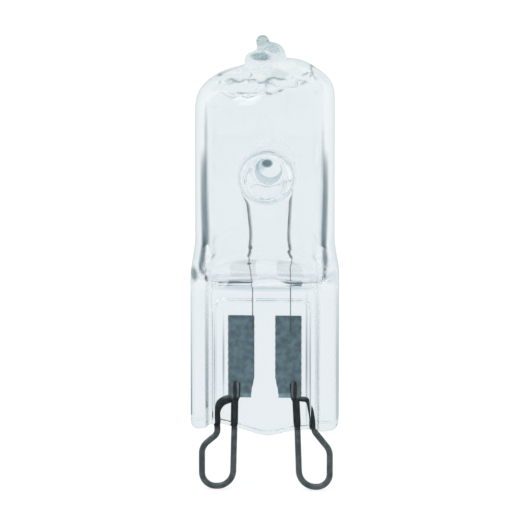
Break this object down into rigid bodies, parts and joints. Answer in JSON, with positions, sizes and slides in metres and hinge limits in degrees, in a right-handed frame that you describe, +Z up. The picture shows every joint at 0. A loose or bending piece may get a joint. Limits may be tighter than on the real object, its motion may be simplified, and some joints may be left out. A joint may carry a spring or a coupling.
{
  "type": "halogen capsule bulb",
  "caption": "Clear quartz halogen capsule bulb with a coiled filament held in a pressed glass post, a flat pinch seal and wire contact loops.",
  "frame": {"origin": "middle of the pinch's bottom edge, on the lamp's middle line, halfway between the two contact loops", "axes": "+Z up the lamp's middle line to the sealed tip, +X from one contact loop to the other, -Y the front face of the pinch"},
  "size_m": [0.0138, 0.013, 0.0435],
  "materials": {
    "quartz": "clear fused quartz, polished by the flame, with press marks at the pinch",
    "foil": "dull grey foil, slightly mottled",
    "contact_wire": "satin grey wire, a little darkened",
    "lead_wire": "plain grey wire",
    "tungsten": "fine coiled grey wire"
  },
  "bodies": {
    "root": {"glass_envelope": "quartz", "foil_left": "foil", "foil_right": "foil", "contact_loop_left": "contact_wire", "contact_loop_right": "contact_wire", "inner_lead_left": "lead_wire", "inner_lead_right": "lead_wire", "filament": "tungsten"}
  },
  "joints": []
}
